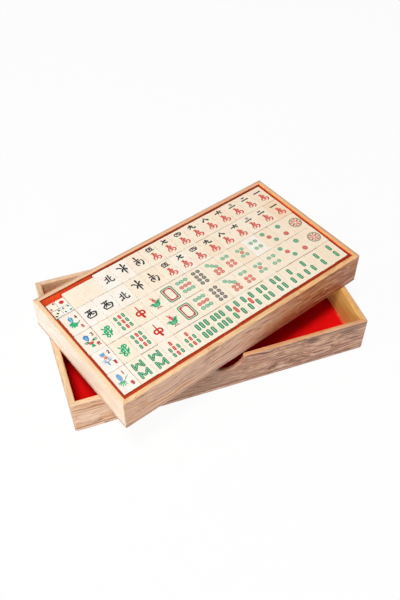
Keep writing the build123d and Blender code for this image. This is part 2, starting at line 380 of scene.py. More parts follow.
# each ink's tone, and where it is worn
INKS = {name: paint(f"ink_{name}", *tones) for name, tones in {
    "black": ((26, 28, 34), (60, 62, 66)), "red": ((202, 46, 42), (220, 96, 84)),
    "scarlet": ((196, 38, 14), (216, 76, 50)), "rose": ((198, 96, 84), (222, 140, 124)),
    "crimson": ((178, 24, 42), (198, 66, 76)), "sage": ((92, 156, 120), (132, 184, 150)),
    "pale_sage": ((128, 182, 150), (156, 200, 172)), "pale_rose": ((214, 128, 112), (230, 160, 146)),
    "teal": ((56, 146, 166), (104, 176, 190)), "green": ((8, 124, 76), (44, 150, 104)),
    "bright_green": ((12, 168, 112), (56, 188, 138)), "dark_green": ((20, 92, 62), (56, 120, 88)),
    "light_green": ((84, 176, 132), (124, 196, 160)), "pale_green": ((168, 220, 188), (198, 228, 206)),
    "grey": ((58, 58, 60), (92, 90, 90)), "pale_grey": ((172, 168, 162), (198, 192, 184)),
    "pink": ((236, 156, 138), (242, 190, 172)), "blue": ((70, 132, 190), (110, 162, 208)),
    "pale_blue": ((138, 190, 224), (180, 212, 232)), "brown": ((136, 34, 26), (164, 80, 62)),
}.items()}
INK_SLOTS = list(INKS)

case_felt = felt("case_felt", (220, 4, 6), (242, 10, 9), worn=(255, 140, 104))
# its last tone is the painted shade laid on the tray's linings
tray_felt = felt("tray_felt", (246, 66, 26), (255, 104, 52), TRAY_TURN, (114, 28, 8))
tile_bone = bone("tile_bone", (250, 238, 216), (249, 218, 184), (250, 247, 240))
die_bone = bone("die_bone", (250, 244, 226), (246, 226, 190), (253, 250, 244), dice=True)
tile_bamboo = bamboo("tile_bamboo")


# --- meshes
rng = random.Random(8143)


def to_scene(name, data):
    made = bpy.data.objects.new(name, data)
    bpy.context.scene.collection.objects.link(made)
    return made


class Shape:
    """Points in mm with their faces, each face's material, and three numbers for each point."""

    def __init__(self):
        self.points, self.faces, self.slots = [], [], []
        self.values = {"tint": [], "seed": [], "edge": []}

    def add(self, points, faces, slot=0, at=(0, 0, 0), tint=0.0, seed=0.0, edge=None):
        start = len(self.points)
        self.points += [(x + at[0], y + at[1], z + at[2]) for x, y, z in points]
        self.faces += [tuple(i + start for i in face) for face in faces]
        self.slots += [slot] * len(faces)
        self.values["tint"] += [tint] * len(points)
        self.values["seed"] += [seed] * len(points)
        self.values["edge"] += edge or [0.0] * len(points)

    def piece(self, name, body, materials, place, slot=None, replaces=(), smooth=False):
        mesh = bpy.data.meshes.new(name)
        mesh.from_pydata(self.points, [], self.faces)
        mesh.polygons.foreach_set("material_index", self.slots)
        mesh.polygons.foreach_set("use_smooth", [smooth] * len(self.faces))
        for label, values in self.values.items():
            mesh.attributes.new(label, "FLOAT", "POINT").data.foreach_set("value", values)
        mesh.transform(place)
        mesh.update()
        for material in materials:
            mesh.materials.append(material)
        made = to_scene(name, mesh)
        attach(made, body)
        if replaces:
            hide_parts(*replaces)


def skin(loops, bottom=True):
    """Closed loops of equal length, from the bottom up, joined into one surface."""
    count = len(loops[0])
    points = [point for loop in loops for point in loop]
    faces = [(k + i, k + (i + 1) % count, k + count + (i + 1) % count, k + count + i)
             for k in range(0, len(points) - count, count) for i in range(count)]
    if bottom:
        faces.append(tuple(range(count - 1, -1, -1)))
    faces.append(tuple(range(len(points) - count, len(points))))
    return points, faces


CORNER_STEPS = 4


def round_rect(width, length, radius, z=0.0):
    radius = max(radius, 0.04)
    points = []
    for quarter, (sx, sy) in enumerate(((1, 1), (-1, 1), (-1, -1), (1, -1))):
        for k in range(CORNER_STEPS + 1):
            angle = math.radians(90 * quarter + 90 * k / CORNER_STEPS)
            points.append((sx * (width / 2 - radius) + radius * math.cos(angle),
                           sy * (length / 2 - radius) + radius * math.sin(angle), z))
    return points


def tile_blank(width, length, rim, handled=1.0):
    """The bone face and bamboo back of one tile: lists of (points, faces, edge values).

    rim is the round-over of the face's edges, handled how much of the usual wear they show.
    """
    joint, top = TILE_THICK - BONE_THICK, TILE_THICK
    low = joint - TONGUE_DEPTH
    quarter = [math.radians(22.5 * k) for k in range(1, 5)]

    def stack(levels):
        """Rounded loops from (inset, z, edge value, corner radius), joined."""
        loops = [round_rect(width - 2 * inset, length - 2 * inset, corner, z) for inset, z, _, corner in levels]
        return (*skin(loops), [handled * value for _, _, value, _ in levels for _ in loops[0]])

    upright = [(0, joint, 0.6, TILE_ROUND), (0, top - 1.2, 1.0, TILE_ROUND), (0, top - rim, 0.8, TILE_ROUND)]
    for k, angle in enumerate(quarter, 1):
        inset = rim * (1 - math.cos(angle))
        upright.append((inset, top - rim + rim * math.sin(angle), 0.7 - 0.12 * k, TILE_ROUND - inset))
    upright.append((rim + 0.35, top, 0.0, 0.3))
    tongue = [[(-x, -length / 2, z), (x, -length / 2, z), (x, length / 2, z), (-x, length / 2, z)]
              for x, z in ((TONGUE_TIP, low), (TONGUE_ROOT, joint))]
    face = [stack(upright), (*skin(tongue), [handled * 0.4] * 8)]

    foot = []
    for angle in quarter[::-1]:
        inset = TILE_ROUND * (1 - math.cos(angle))
        foot.append((inset, TILE_ROUND * (1 - math.sin(angle)), 0.5, TILE_ROUND - inset))
    back = [stack(foot + [(0, TILE_ROUND, 0.5, TILE_ROUND), (0, low, 0.2, TILE_ROUND)])]
    for side in (-1, 1):
        cheek = []
        for inner, z in ((TONGUE_TIP, low), (TONGUE_ROOT, joint)):
            outer = round_rect(width, length, TILE_ROUND, z)
            corners = outer[15:] + outer[:5] if side > 0 else outer[5:15]
            cheek.append(corners + [(side * inner, end * side * length / 2, z) for end in (1, -1)])
        back.append((*skin(cheek), [handled * 0.2] * 24))
    return face, back


def tile_centres(row):
    centres = []
    for column in range(COLUMNS if row else FIRST_ROW_COLUMNS):
        offset = STAGGER[row] * STAGGER_CYCLE[(2 * row + 3 * column) % len(STAGGER_CYCLE)]
        left = LAST_TILE_LEFT[row] if column == COLUMNS - 1 else 0.0
        centres.append((ROW_RIGHT[row] - TILE_WIDTH / 2 - column * COLUMN_PITCH - left,
                        BLOCK_BACK - TILE_LENGTH / 2 - row * ROW_PITCH - ROW_FORWARD[row] + offset))
    return centres


def spare_centres():
    x, y = SPARE_RIGHT - SPARE_WIDTH / 2, BLOCK_BACK - TILE_LENGTH + SPARE_LENGTH / 2
    return [(x, y), (x - SPARE_WIDTH - SPARE_GAP, y)]


# --- painted marks
# Brush strokes on a square of 100 by 100: each one's kind, then its points. h level, s upright, p falling
# left, n falling right, d dot, t flick, g hooked, v swelling downwards, r even, w wide, c upright through
# the middle, l light
GLYPHS = {
    "one": "h 0 44 14 36 50 44 84 48 100 58",
    "two": "h 28 94 44 93 60 98, h 0 8 40 10 100 12",
    "three": "l 38 96 74 100, l 42 58 72 62, h 0 8 50 10 100 14",
    "four": "s 10 80 4 50 18 18, g 10 80 52 90 92 76 94 46 78 16, p 40 82 40 54 30 40, "
        "g 62 82 60 50 70 42 82 46, h 16 16 50 10 82 16",
    "five": "p 30 98 20 74 0 54, s 19 74 20 2, h 42 90 92 96, p 66 92 60 50 54 12, "
        "g 40 54 84 60 80 36 78 12, h 30 6 100 10",
    "six": "d 60 106 54 76, h 0 46 50 56 100 68, p 54 78 48 42 36 2, d 72 38 86 8",
    "seven": "n 4 2 34 38 64 62 100 82, s 38 100 46 68 54 40, d 56 36 64 18 96 12",
    "eight": "n 38 76 24 38 0 4, n 46 100 58 64 78 30 100 8",
    "nine": "p 40 100 38 60 26 30 0 2, g 4 64 64 74 58 34 64 10 82 4 98 8 100 28",
    "wan": "l 22 92 40 95 58 94, s 32 100 36 84, s 50 100 47 84, s 34 78 32 54, g 34 78 54 81 74 77 69 54, "
        "h 36 66 70 67, h 33 54 70 55, s 52 80 50 26, p 34 60 24 48 8 38, h 8 36 40 41 70 41, "
        "w 66 41 90 40 100 28 92 12 68 0, s 13 38 8 12, t 32 13 58 26, d 56 34 66 18",
    "east": "c 67 100 66 70 65 40 65 0, p 0 80 22 76 45 58 60 46, p 99 76 84 68 66 56, d 64 56 42 46 27 31, "
        "d 66 57 86 46 93 33",
    "south": "c 31 100 37 74 39 46 45 18, h 6 66 34 65 66 67, s 17 12 2 26 3 38 20 47, l 18 47 50 50 82 54, "
        "n 80 54 98 50 97 28 82 10 66 1, l 24 36 62 38",
    "west": "h 10 92 40 94 72 95, s 34 88 32 60, s 54 88 52 62, g 4 40 26 57 50 62 76 60 98 50 92 26 82 4, "
        "s 4 42 4 26 14 8, h 12 6 48 3 84 6, p 36 60 34 42 22 26, g 54 60 52 44 60 36 78 38",
    "north": "h 8 56 36 62, s 36 84 36 8, t 0 4 42 32, l 90 64 80 56 70 50, "
        "g 64 100 62 40 62 10 80 2 98 4 100 24",
    "zhong": "v 51 100 51 62 50 34 57 0, r 49 54 22 55 4 44 8 28 30 26 49 34, "
        "r 53 54 80 55 97 44 92 28 72 26 52 34",
    "fa": "d 22 100 36 82, p 62 98 50 84 44 66, h 38 68 62 72, r 68 90 82 98 92 84 84 72 70 69, "
        "c 68 92 70 60 69 30 66 3, r 69 70 70 40 67 8, t 72 30 86 46 100 60, p 88 42 80 30 72 24, "
        "d 0 54 18 42, s 30 62 34 34, h 26 58 54 60, h 28 38 54 40, s 50 60 50 36, "
        "r 34 28 25 18 31 4 44 3 50 15 42 27 34 28",
    "digit_1": "s 50 98 50 2",
    "digit_2": "g 14 76 34 96 68 96 78 72 46 36 10 6, h 10 6 92 10",
    "digit_3": "g 14 88 52 98 80 82 46 56, g 46 56 86 44 84 14 48 2 12 12",
    "digit_4": "p 52 98 34 62 6 34, h 6 34 94 36, s 62 66 60 2",
    "spring": "h 16 90 84 92, h 22 74 78 76, h 6 58 94 60, p 48 98 38 58 4 30, n 56 56 72 40 98 28, "
        "s 34 36 34 4, g 34 36 68 38 66 4, h 36 20 66 20, h 34 5 66 6",
    "summer": "h 14 95 86 95, p 50 94 42 82, s 28 80 28 44, g 28 80 74 80 72 44, h 30 68 72 68, "
        "h 30 56 72 56, h 28 44 72 44, g 34 32 70 34 46 12 12 0, n 36 24 60 8 94 0",
    "autumn": "p 44 98 14 88, h 4 72 50 74, s 28 90 28 4, p 26 70 16 46 2 30, d 32 60 46 46, d 56 72 60 56, "
        "p 94 78 82 58, p 76 98 74 52 50 4, n 74 52 84 26 98 4",
    "winter": "p 44 98 30 74 8 54, g 38 84 76 86 48 52 6 30, n 32 72 60 46 98 32, d 44 32 60 22, "
        "d 38 14 62 2",
}
# How wide the brush is along each kind of stroke
PRESSURE = {
    "h": ((0, 1.05), (0.3, 0.82), (0.7, 0.82), (0.93, 1.15), (1, 0.9)),
    "s": ((0, 1.1), (0.25, 0.9), (0.8, 0.95), (1, 0.8)),
    "p": ((0, 1.15), (0.4, 1.0), (0.8, 0.7), (1, 0.3)),
    "n": ((0, 0.55), (0.5, 0.95), (0.82, 1.4), (1, 0.5)),
    "d": ((0, 0.55), (0.65, 1.3), (1, 0.9)),
    "t": ((0, 1.15), (0.5, 0.85), (1, 0.3)),
    "g": ((0, 1.0), (0.35, 0.85), (0.8, 1.1), (1, 0.5)),
    "v": ((0, 0.55), (0.4, 0.8), (0.75, 1.2), (1, 1.35)),
    "r": ((0, 1.0), (1, 1.0)), "w": ((0, 1.3), (0.7, 1.5), (1, 0.8)),
    "c": ((0, 1.25), (0.12, 1.3), (0.35, 0.75), (0.75, 1.2), (1, 0.5)), "l": ((0, 0.65), (1, 0.6)),
}


def smooth_path(points):
    """Points on a smooth curve through the given ones."""
    if len(points) < 3:
        (ax, ay), (bx, by) = points
        return [(ax + (bx - ax) * k / 4, ay + (by - ay) * k / 4) for k in range(5)]
    path, last = [], len(points) - 1
    for i in range(last):
        around = [points[min(max(j, 0), last)] for j in range(i - 1, i + 3)]
        for t in (0, 0.2, 0.4, 0.6, 0.8):
            path.append(tuple(0.5 * (2 * b + (c - a) * t + (2 * a - 5 * b + 4 * c - d) * t * t
                                     + (3 * b - a - 3 * c + d) * t ** 3) for a, b, c, d in zip(*around)))
    return path + [points[-1]]


def pressure(kind, share):
    stops = PRESSURE[kind]
    for (a, low), (b, high) in zip(stops, stops[1:]):
        if share <= b:
            return low + (high - low) * (share - a) / (b - a)
    return stops[-1][1]


def oval(x, y, a, b, steps=24, slant=0.0):
    turns = [math.tau * k / steps for k in range(steps)]
    return [(x + a * math.cos(t) + slant * math.sin(t), y + b * math.sin(t)) for t in turns]


LIP = 0.06                 # how far a coat of paint rounds off at its edge
SUNK, COAT, NEXT_COAT = 0.02, 0.05, 0.03   # how far paint goes into the bone, above it, and above a coat below
APART = 0.002              # coats that cross differ in height by this much


class Ink:
    """The paint on one row of tiles, thin coats that stand a little above the bone.

    at is the middle of the mark on its tile; the marks are drawn in mm from there.
    """

    def __init__(self, level):
        self.shape, self.level, self.coats, self.at = Shape(), level, 0, (0.0, 0.0)

    def heights(self, lift):
        self.coats = (self.coats + 1) % 9
        return self.level - SUNK, self.level + COAT + NEXT_COAT * lift + APART * self.coats

    def lay(self, colour, points, faces):
        self.shape.add(points, faces, INK_SLOTS.index(colour), (*self.at, 0))

    def ribbon(self, colour, path, widths, lift=0, closed=False):
        low, high = self.heights(lift)
        count = len(path)
        stations = []
        for i, (x, y) in enumerate(path):
            ahead = path[(i + 1) % count] if closed or i + 1 < count else path[i]
            behind = path[i - 1] if closed or i else path[i]
            dx, dy = ahead[0] - behind[0], ahead[1] - behind[1]
            size = math.hypot(dx, dy) or 1.0
            stations.append((x, y, dx / size, dy / size, widths[i] / 2))

        def cap(station, sign):
            x, y, dx, dy, half = station
            return [(x + sign * dx * half * math.sin(a), y + sign * dy * half * math.sin(a), dx, dy,
                     max(half * math.cos(a), 0.02)) for a in (1.5, 1.05, 0.55)]
        if not closed:
            stations = cap(stations[0], -1) + stations + cap(stations[-1], 1)[::-1]
        points = []
        for x, y, dx, dy, half in stations:
            lip = min(LIP, half * 0.5)
            points += [(x - dy * k, y + dx * k, z) for k, z in
                       ((half, low), (half - lip, high), (lip - half, high), (-half, low))]
        faces, total = [], len(stations)
        for i in range(total if closed else total - 1):
            a, b = 4 * i, 4 * ((i + 1) % total)
            faces += [(a + k + 1, a + k, b + k, b + k + 1) for k in range(3)]
        self.lay(colour, points, faces)

    def line(self, colour, points, width, lift=0):
        path = smooth_path(points)
        self.ribbon(colour, path, [width] * len(path), lift)

    def loop(self, colour, points, width, lift=0):
        self.ribbon(colour, points, [width] * len(points), lift, True)

    def taper(self, colour, points, start, end, lift=0):
        path = smooth_path(points)
        last = len(path) - 1
        self.ribbon(colour, path, [start + (end - start) * k / last for k in range(last + 1)], lift)

    def plate(self, colour, outline, lift=0):
        """A filled outline that bulges from its middle."""
        low, high = self.heights(lift)
        cx, cy = (sum(p[axis] for p in outline) / len(outline) for axis in (0, 1))
        top = []
        for x, y in outline:
            keep = max(0.0, 1 - LIP / (math.hypot(x - cx, y - cy) or 1.0))
            top.append((cx + (x - cx) * keep, cy + (y - cy) * keep, high))
        self.lay(colour, *skin([[(x, y, low) for x, y in outline], top], bottom=False))

    def dot(self, colour, x, y, radius, lift=0, steps=18):
        self.plate(colour, oval(x, y, radius, radius, steps), lift)

    def ring(self, colour, x, y, outer, inner, lift=0, steps=28):
        middle = (outer + inner) / 2
        self.loop(colour, oval(x, y, middle, middle, steps), outer - inner, lift)

    def petals(self, colour, x, y, width, spread, lift=0):
        """Leaves or petals that grow from (x, y), each with its direction in degrees and its length."""
        for angle, length in spread:
            ca, sa = math.cos(math.radians(angle)), math.sin(math.radians(angle))
            outline = []
            for k in range(14):
                t = math.tau * k / 14
                u = length * (1 - math.cos(t)) / 2
                v = width / 2 * math.sin(t) * (0.75 + 0.35 * (1 - math.cos(t)) / 2)
                outline.append((x + u * ca + v * sa, y + u * sa - v * ca))
            self.plate(colour, outline, lift)

    def glyph(self, name, colour, x, y, width, height, pen, tilt=0.0):
        """A character, centred on (x, y), written with a brush pen mm wide."""
        ca, sa = math.cos(math.radians(tilt)), math.sin(math.radians(tilt))
        for text in GLYPHS[name].split(","):
            kind, *numbers = text.split()
            places = [float(n) / 100 - 0.5 for n in numbers]
            points = [(x + u * width * ca - v * height * sa, y + u * width * sa + v * height * ca)
                      for u, v in zip(places[::2], places[1::2])]
            path = smooth_path(points)
            last = len(path) - 1
            self.ribbon(colour, path, [pen * pressure(kind, k / last) for k in range(last + 1)])

    def rod(self, colour, x, y, width, length, angle=90.0):
        """A bamboo stick: an outlined bar with a pale core, crossed by its nodes."""
        ca, sa = math.cos(math.radians(angle)), math.sin(math.radians(angle))

        def span(start, end, aside=0.0):
            return [(x + ca * along - sa * across, y + sa * along + ca * across)
                    for along, across in ((start, -aside), (end, aside))]

        half = (length - width) / 2
        core = half + width * 0.12
        self.line(colour, span(-half, half), width)
        self.line(PALE[colour], span(-core, core), width * 0.32, 1)
        count = max(2, round(2 * core / 1.7))
        for k in range(count + 1):
            along = (2 * k / count - 1) * core
            self.line(colour, span(along, along, width * 0.2), 0.5, 2)


PALE = {"green": "pale_green", "sage": "pale_green", "red": "pink", "rose": "pink", "grey": "pale_grey"}
# each circle tile's radius, and its columns' and rows' places from the tile's middle
CIRCLES = {
    2: (3.35, [(-0.2, 7.6, "sage"), (0.15, -7.1, "rose")]),
    3: (3.0, [(-3.3, 8.7, "sage"), (0.65, 0.5, "rose"), (4.95, -7.6, "sage")]),
    4: (2.55, [(x, y, "sage") for x in (-2.65, 3.7) for y in (5.8, -4.4)]),
    5: (2.5, [(x, y, "sage") for x in (-2.6, 3.6) for y in (5.8, -4.4)] + [(0.35, 0.85, "rose")]),
    6: (2.55, [(-3.0, 7.0, "sage"), (2.9, 7.0, "sage")]
        + [(x, y, "rose") for x in (-2.55, 3.4) for y in (-2.0, -7.65)]),
    7: (2.6, [(-3.25, 9.2, "sage"), (0.6, 5.4, "sage"), (4.3, 1.9, "sage")]
        + [(x, y, "rose") for x in (-0.65, 5.05) for y in (-3.2, -8.4)]),
    8: (2.5, [(x, y, "grey") for x in (-2.8, 3.55) for y in (9.0, 3.0, -2.6, -8.4)]),
    9: (2.6, [(x, y, colour) for x in (-4.75, 0.45, 5.7)
              for y, colour in ((7.9, "sage"), (0.5, "rose"), (-6.3, "sage"))]),
}
RED_STICK = (1.1, 0.8)
STICKS = {
    2: [(0.9, 6.2), (1.1, -5.7)],
    3: [(1.1, 6.6), (-3.8, -5.65), (6.3, -5.5)],
    4: [(x, y) for x in (-2.8, 4.4) for y in (7.05, -5.45)],
    5: [(x, y) for x in (-4.3, 6.5) for y in (7.1, -5.5)] + [RED_STICK],
    6: [(x, y) for x in (-5.3, 0.3, 6.2) for y in (7.15, -5.5)],
}
LARGE_CIRCLE = 2.9


def circle_mark(ink, colour, x, y, radius):
    """A coin: a ring round a paler ground with a dark middle; the big ones are filled darker."""
    if radius > LARGE_CIRCLE:
        ink.dot(f"pale_{colour}", x, y, radius * 0.97, 0, 24)
        ink.ring(colour, x, y, radius, radius * 0.70, 1)
        ink.ring({"sage": "green", "rose": "red"}[colour], x, y, radius * 0.42, radius * 0.24, 1)
        ink.dot(PALE[colour], x, y, radius * 0.2, 2, 8)
    else:
        ink.ring(colour, x, y, radius, radius * 0.62)
        ink.dot(PALE[colour], x, y, radius * 0.62, 0, 16)
        ink.ring(colour, x, y, radius * 0.36, radius * 0.16, 1, 12)


def rosette(ink):
    """The single circle: a rim of slanted dashes, dark beads, red petals and a pale middle."""
    ink.ring("sage", 0, 0, 8.05, 7.45, 0, 36)
    for k in range(24):
        outer = math.tau * k / 24
        inner = outer + 0.10
        ink.line(("dark_green", "brown")[k % 2], [(6.3 * math.cos(inner), 6.3 * math.sin(inner)),
                                                  (7.7 * math.cos(outer), 7.7 * math.sin(outer))], 0.9, 1)
    for k in range(8):
        a = math.tau * (k + 0.5) / 8
        ink.petals(("rose", "pink")[k % 2], 1.9 * math.cos(a), 1.9 * math.sin(a), 2.3, [(math.degrees(a), 3.9)])
        ink.dot("brown", 5.3 * math.cos(a), 5.3 * math.sin(a), 0.8, 1, 10)
    ink.ring("rose", 0, 0, 2.0, 1.4, 1, 16)


def sparrow(ink):
    """The single bamboo is a bird: crested head, spread wings, round body and feet."""
    ink.plate("bright_green", oval(0.5, -3.1, 4.5, 3.2, 24, 0.9))
    for k in range(3):
        ink.line("pale_green", [(0.5 * k - 2.6, -1.6 - 1.4 * k), (0.4, -2.4 - 1.4 * k),
                                (3.2 - 0.4 * k, -1.4 - 1.4 * k)], 0.45, 1)
    for k, reach in enumerate((7.4, 6.6, 5.4)):
        ink.taper("green", [(-2.4, 0.2 - 0.9 * k), (-4.6, 0.4 - 1.2 * k), (-reach, -0.5 - 1.1 * k)], 1.2, 0.45)
        ink.taper("bright_green" if k else "green", [(2.6, 0.4 - 0.8 * k), (5.2, 2.0 - 1.2 * k),
                                                     (reach + 0.6, 2.4 - 1.7 * k)], 1.7, 0.7)
    ink.petals("red", 1.6, -0.6, 3.5, [(104, 6.2)])
    ink.petals("pink", 1.1, 0.6, 1.2, [(106, 3.9)], 1)
    ink.taper("red", [(0.4, 4.6), (-0.5, 7.0), (-1.3, 9.4)], 1.9, 0.5)
    ink.taper("red", [(1.2, 4.4), (1.6, 6.6), (1.2, 8.2)], 1.2, 0.4)
    ink.taper("brown", [(2.2, 3.6), (3.4, 3.4), (4.4, 2.7)], 0.9, 0.3)
    ink.dot("black", 1.3, 3.5, 0.35, 2, 8)
    for side in (-1, 1):
        ink.line("brown", [(0.6 + side * 1.1, -5.8), (0.6 + side * 1.5, -8.0)], 0.7)
        toes = [(0.6 + side * reach, y) for reach, y in ((0.3, -8.3), (1.6, -8.0), (3.1, -8.7))]
        ink.line("brown", toes, 0.9)


FRAME_UP = 0.5             # the white dragon's frame stands a little above the tile's middle


def white_dragon(ink):
    """A green frame of two lines round a beaded red one with cut corners."""
    def loop(width, length, radius):
        return [(x, y + FRAME_UP) for x, y, _ in round_rect(width, length, radius)]

    def beads(width, length, radius, colour, size, lift=0):
        path = loop(width, length, radius)
        travelled, ahead, pitch = 0.0, 0.0, 1.15
        for a, b in zip(path, path[1:] + path[:1]):
            step = math.dist(a, b)
            while ahead <= travelled + step and step > 1e-6:
                share = (ahead - travelled) / step
                ink.dot(colour, a[0] + (b[0] - a[0]) * share, a[1] + (b[1] - a[1]) * share, size, lift, 8)
                ahead += pitch
            travelled += step

    ink.loop("green", loop(13.7, 21.1, 2.4), 1.3)
    beads(13.7, 21.1, 2.4, "bright_green", 0.3, 2)
    beads(12.05, 19.5, 1.6, "dark_green", 0.24)
    ink.loop("crimson", loop(9.3, 16.8, 1.0), 1.4)
    beads(9.9, 17.4, 1.2, "brown", 0.32, 2)
    for sx in (-1, 1):
        for sy in (-1, 1):
            corner = [(sx * x, FRAME_UP + sy * y) for x, y in ((4.1, 7.9), (2.2, 7.9), (2.7, 6.4), (4.1, 5.6))]
            ink.plate("rose", corner[::sx * sy])


def nine_sticks(ink):
    for x, colour in ((-4.8, "green"), (0.4, "red"), (5.05, "green")):
        for y in (7.9, 0.2, -7.6):
            ink.rod(colour, x, y, 3.1, 6.3)


def seven_sticks(ink):
    for x, colour, heights in ((0.3, "red", (7.8, 0.5, -7.1)), (-4.7, "green", (0.5, -6.9)),
                               (5.4, "green", (0.5, -6.9))):
        for y in heights:
            ink.rod(colour, x, y, 3.1, 6.2)


def eight_sticks(ink):
    for sign, middle in ((1, 5.7), (-1, -6.2)):
        for side in (-1, 1):
            ink.rod("green", side * 4.85, middle, 2.9, 10.6)
            ink.rod("green", side * 2.0, middle - sign * 0.1, 2.7, 7.2, 90 + side * sign * 31)


# each flower's season, and the places of its number and its season's character
FLOWERS = {1: ("spring", (3.8, 8.2), (5.2, -7.8)), 2: ("summer", (6.6, 7.8), (5.6, -7.2)),
           3: ("autumn", (6.5, 7.2), (5.9, -7.7)), 4: ("winter", (5.7, 6.6), (5.0, -8.7))}


def flower(ink, design):
    """A numbered plant with a small season character beside it."""
    season, top, low = FLOWERS[design]
    ink.glyph(f"digit_{design}", "brown", *top, 0.6 if design == 1 else 2.5, 4.5, 1.15)
    ink.glyph(season, "crimson", *low, 3.9, 5.2, 0.85)
    if design == 4:
        ink.petals("teal", -1.0, 0.6, 2.8, ((78, 8.4), (102, 8.4), (90, 10.4)))
        for y in (2.2, 4.8, 7.2):
            ink.petals("pale_blue", -1.0, y, 2.4, [(90, 3.0)], 1)
        ink.petals("bright_green", -1.0, 1.2, 2.0,
                   ((190, 4.8), (210, 6.2), (234, 7.8), (256, 8.4), (280, 8.2), (302, 6.8)))
        ink.petals("light_green", -1.0, 0.2, 1.1, ((222, 5.6), (268, 6.6), (292, 5.8)), 1)
        ink.taper("green", [(0.4, -1.4), (3.6, -2.2), (6.9, -0.2)], 1.9, 0.7)
    elif design == 3:
        ink.petals("blue", -1.1, 0.7, 3.2, ((76, 8.4), (104, 8.6), (90, 9.6)))
        ink.petals("pale_blue", -1.3, 2.0, 1.9, [(92, 5.4)], 1)
        for start, end in ((-2.2, -6.2), (3.4, 8.2)):
            for a, b, c, width, tip in ((-0.4, 0.5, 0.4, 2.1, 0.8), (-1.0, -1.6, -1.2, 1.7, 0.6)):
                ink.taper("green", [(start, a), ((start + end) / 2, b), (end, c)], width, tip)
        ink.plate("red", oval(-0.1, -2.9, 3.0, 1.9, 18))
        ink.line("pink", [(-1.8, -2.6), (-0.2, -2.2), (1.6, -2.7)], 0.6, 1)
        ink.petals("bright_green", 0, -4.4, 1.6, [(angle, 4.8) for angle in (246, 262, 278, 294)])
    elif design == 2:
        for k in range(3):
            ink.line("blue", [(2.0 * k - 2.5, 10.0), (1.8 * k - 2.3, 5.6)], 0.75)
            ink.line("blue", [(-2.9, 9.6 - 1.7 * k), (1.9, 9.6 - 1.7 * k)], 0.6)
        ink.petals("pale_blue", -0.5, 5.4, 3.4, [(90, 4.8)])
        ink.petals("red", 0.5, 2.9, 1.3, [(54 + 72 * k, 2.8) for k in range(5)])
        ink.dot("pink", 0.5, 2.9, 0.8, 1, 10)
        for side in (-1, 1):
            for k, reach in enumerate((6.0, 5.2, 4.0)):
                ink.taper("pale_blue", [(side * 1.6, 0.4 - 0.9 * k), (side * reach * 0.7, 0.9 - 1.5 * k),
                                        (side * reach, -0.8 - 1.9 * k)], 1.2, 0.4)
        ink.taper("dark_green", [(-3.4, -1.8), (-0.4, -3.0), (3.6, -2.0)], 0.7, 0.7)
        ink.taper("blue", [(-1.0, -3.2), (-1.1, -5.6), (-0.8, -7.8)], 1.7, 0.9)
    else:
        bud = oval(-2.3, 4.9, 2.1, 4.6)
        ink.plate("pale_blue", bud)
        ink.loop("blue", bud, 0.55, 1)
        for y in (1.9, 4.1, 6.3, 7.9):
            ink.petals("blue", -3.0, y, 0.9, [(80, 1.7)], 2)
            ink.petals("blue", -1.5, y, 0.9, [(100, 1.7)], 2)
        ink.petals("light_green", -2.4, -0.2, 1.1,
                   ((186, 5.4), (206, 6.0), (226, 6.4), (248, 7.4), (270, 7.6), (292, 7.0), (316, 5.0)))
        ink.taper("green", [(-1.2, -1.6), (2.4, 0.4), (6.4, 3.4)], 0.8, 0.4)
        ink.taper("light_green", [(1.2, -0.4), (3.4, 2.0), (4.4, 3.4)], 0.8, 0.3)


# from right to left: each numeral's width, height, place above the tile's middle, and brush
NUMERALS = {"one": (8.6, 1.6, 7.6, 2.3), "two": (8.6, 4.6, 8.4, 2.1), "three": (8.6, 5.6, 8.4, 2.0),
            "six": (8.6, 6.3, 8.7, 1.9), "eight": (8.6, 6.3, 8.7, 1.9), "nine": (8.6, 6.3, 8.7, 1.9),
            "four": (9.2, 6.3, 8.7, 1.5), "seven": (8.6, 6.3, 8.7, 1.9), "five": (9.4, 6.3, 8.7, 1.5)}
# each wind's width, height, brush and place
WINDS = {"south": (9.3, 15.8, 1.75, 1.2, 1.15), "east": (10.2, 16.4, 1.8, 0.8, 1.8),
         "north": (9.9, 10.9, 1.75, 0.7, -0.6), "west": (11.0, 11.6, 1.85, -0.15, -0.45)}
WIND_ORDER = ("south", "east", "north", "west", "west")
# how far the numbers and the winds but the west lie to the right in the first two rows
NUMBERS_RIGHT, WINDS_RIGHT = (0.8, -0.2), (0.85, -0.75)
# how far the marks of the third and fourth row lie off their tiles' middles, by column
OFF_MIDDLE = {0: ((0.75, 0.0), (0.4, -1.0)), 9: ((0.6, 0.0), (-0.2, 0.0)), 10: ((0.2, 0.4), (-0.4, 0.4)),
              11: ((0.5, 0.4), (0.5, -0.2)), 13: ((-0.1, -1.1), (-0.6, -1.1))}


def number_or_wind(ink, row, column):
    if column < len(NUMERALS):
        name, (width, height, up, pen) = list(NUMERALS.items())[column]
        x = NUMBERS_RIGHT[row] + 0.11 * column + rng.uniform(-0.15, 0.15)
        ink.glyph(name, "black", x, up, width, height, pen, rng.uniform(-2, 2))
        ink.glyph("wan", "red", x + 0.35, -4.4, 9.9, 13.0, 1.2, rng.uniform(-2, 2))
    elif column < COLUMNS - 1:
        name = WIND_ORDER[column - len(NUMERALS)]
        width, height, pen, x, y = WINDS[name]
        x += 0.0 if name == "west" else WINDS_RIGHT[row]
        ink.glyph(name, "black", x, y, width, height, pen, rng.uniform(-2, 2))


def red_dragon(ink):
    ink.glyph("zhong", "scarlet", 0, 0, 9.8, 17.4, 2.1)


def green_dragon(ink):
    ink.glyph("fa", "bright_green", 0, 0, 12.4, 14.6, 1.65)


HONOURS = {0: rosette, 9: white_dragon, 10: sparrow, 11: red_dragon, 12: nine_sticks, 13: green_dragon}


